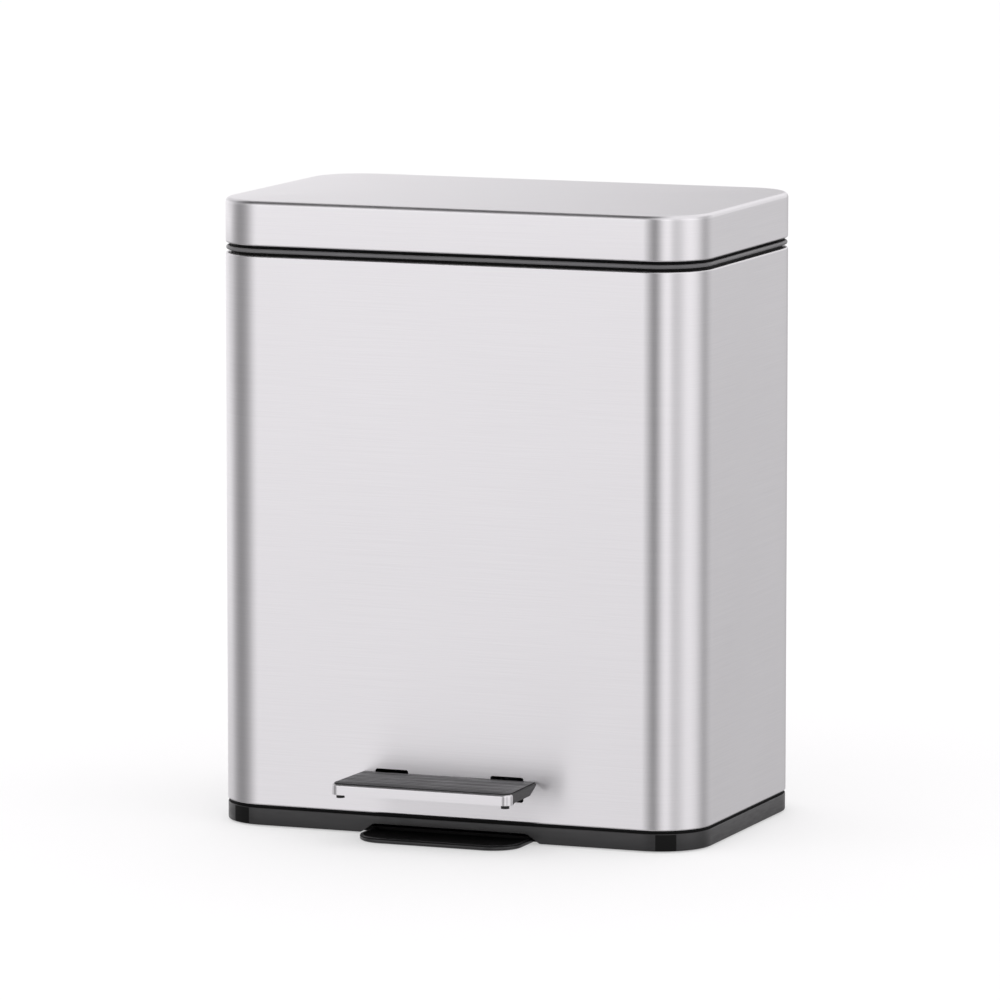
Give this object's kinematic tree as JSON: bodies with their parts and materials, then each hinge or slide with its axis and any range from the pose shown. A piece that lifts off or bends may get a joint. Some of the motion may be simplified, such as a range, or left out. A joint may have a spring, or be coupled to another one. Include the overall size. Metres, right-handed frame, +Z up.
{
  "type": "pedal trash can",
  "caption": "Rectangular step trash can: steel body with rounded corners on a dark plastic base, hinged steel lid opened by a front pedal through a lever and lift rod, inner bucket with bail.",
  "frame": {"origin": "centre of the overall outline in plan (pedal and hinges included), on the floor plane under the rubber pads", "axes": "+Z up; -Y towards the pedal and the user; +X to the right of someone facing the pedal"},
  "size_m": [0.41, 0.3285, 0.503],
  "materials": {
    "brushed_steel": "satin brushed stainless sheet, grain running across the width",
    "base_plastic": "fine-textured black moulding",
    "rim_plastic": "semi-gloss dark grey moulding",
    "liner_plastic": "dark grey moulding",
    "bucket_plastic": "grey moulded polypropylene, light texture",
    "tread": "grooved anti-slip tread",
    "rubber": "matt black rubber",
    "zinc_steel": "bright zinc-plated steel",
    "pin_steel": "polished steel",
    "wire_steel": "polished steel wire",
    "nylon": "natural nylon",
    "damper_plastic": "black moulded cylinder"
  },
  "bodies": {
    "can": {"outer_body": "brushed_steel", "rim_collar": "rim_plastic", "base": "base_plastic", "foot_pads": "rubber", "base_screws": "zinc_steel", "inner_bucket": "bucket_plastic", "bucket_handle": "wire_steel", "handle_grip": "liner_plastic", "lid_bumpers": "rubber", "hinge_leaf_body_left": "zinc_steel", "hinge_leaf_body_right": "zinc_steel", "hinge_pin_left": "pin_steel", "hinge_pin_right": "pin_steel", "body_hinge_screws": "zinc_steel", "body_hinge_nuts": "zinc_steel", "axle": "pin_steel", "axle_clips": "zinc_steel", "damper_cylinder": "damper_plastic", "damper_bracket": "zinc_steel"},
    "lid": {"lid_skin": "brushed_steel", "lid_liner": "liner_plastic", "hinge_leaf_lid_left": "zinc_steel", "hinge_leaf_lid_right": "zinc_steel", "lid_hinge_screws": "zinc_steel", "crank_pin": "pin_steel"},
    "pedal": {"pedal_plate": "brushed_steel", "pedal_pad": "tread", "pedal_buffers": "rubber", "lever_arm_left": "zinc_steel", "lever_arm_right": "zinc_steel", "lever_crossbar": "zinc_steel", "pedal_rivets": "zinc_steel", "pivot_bushes": "nylon"},
    "lift_rod": {"lift_rod": "pin_steel", "rod_foot_pin": "pin_steel"},
    "damper": {"damper_rod": "pin_steel", "damper_foot_pin": "pin_steel"}
  },
  "joints": [
    {"name": "lid_hinge", "type": "hinge", "parent": "can", "child": "lid", "pos_m": [0, 0.15925, 0.4615], "axis": [-1, 0, 0], "range_deg": [0, 80]},
    {"name": "pedal_pivot", "type": "hinge", "parent": "can", "child": "pedal", "pos_m": [0, -0.05875, 0.036], "axis": [1, 0, 0], "range_deg": [0, 13]},
    {"name": "lift_rod_pin", "type": "hinge", "parent": "lid", "child": "lift_rod", "pos_m": [0, 0.1332, 0.43965], "axis": [1, 0, 0], "range_deg": [0, 80]},
    {"name": "damper_slide", "type": "slide", "parent": "can", "child": "damper", "axis": [0, 0, 1], "range_m": [0, 0.04372]}
  ],
  "couplings": [
    {"joint": "pedal_pivot", "follows": "lid_hinge", "ratio": 0.16242},
    {"joint": "lift_rod_pin", "follows": "lid_hinge", "ratio": 1},
    {"joint": "damper_slide", "follows": "lid_hinge", "m_per_rad": 0.031305}
  ]
}
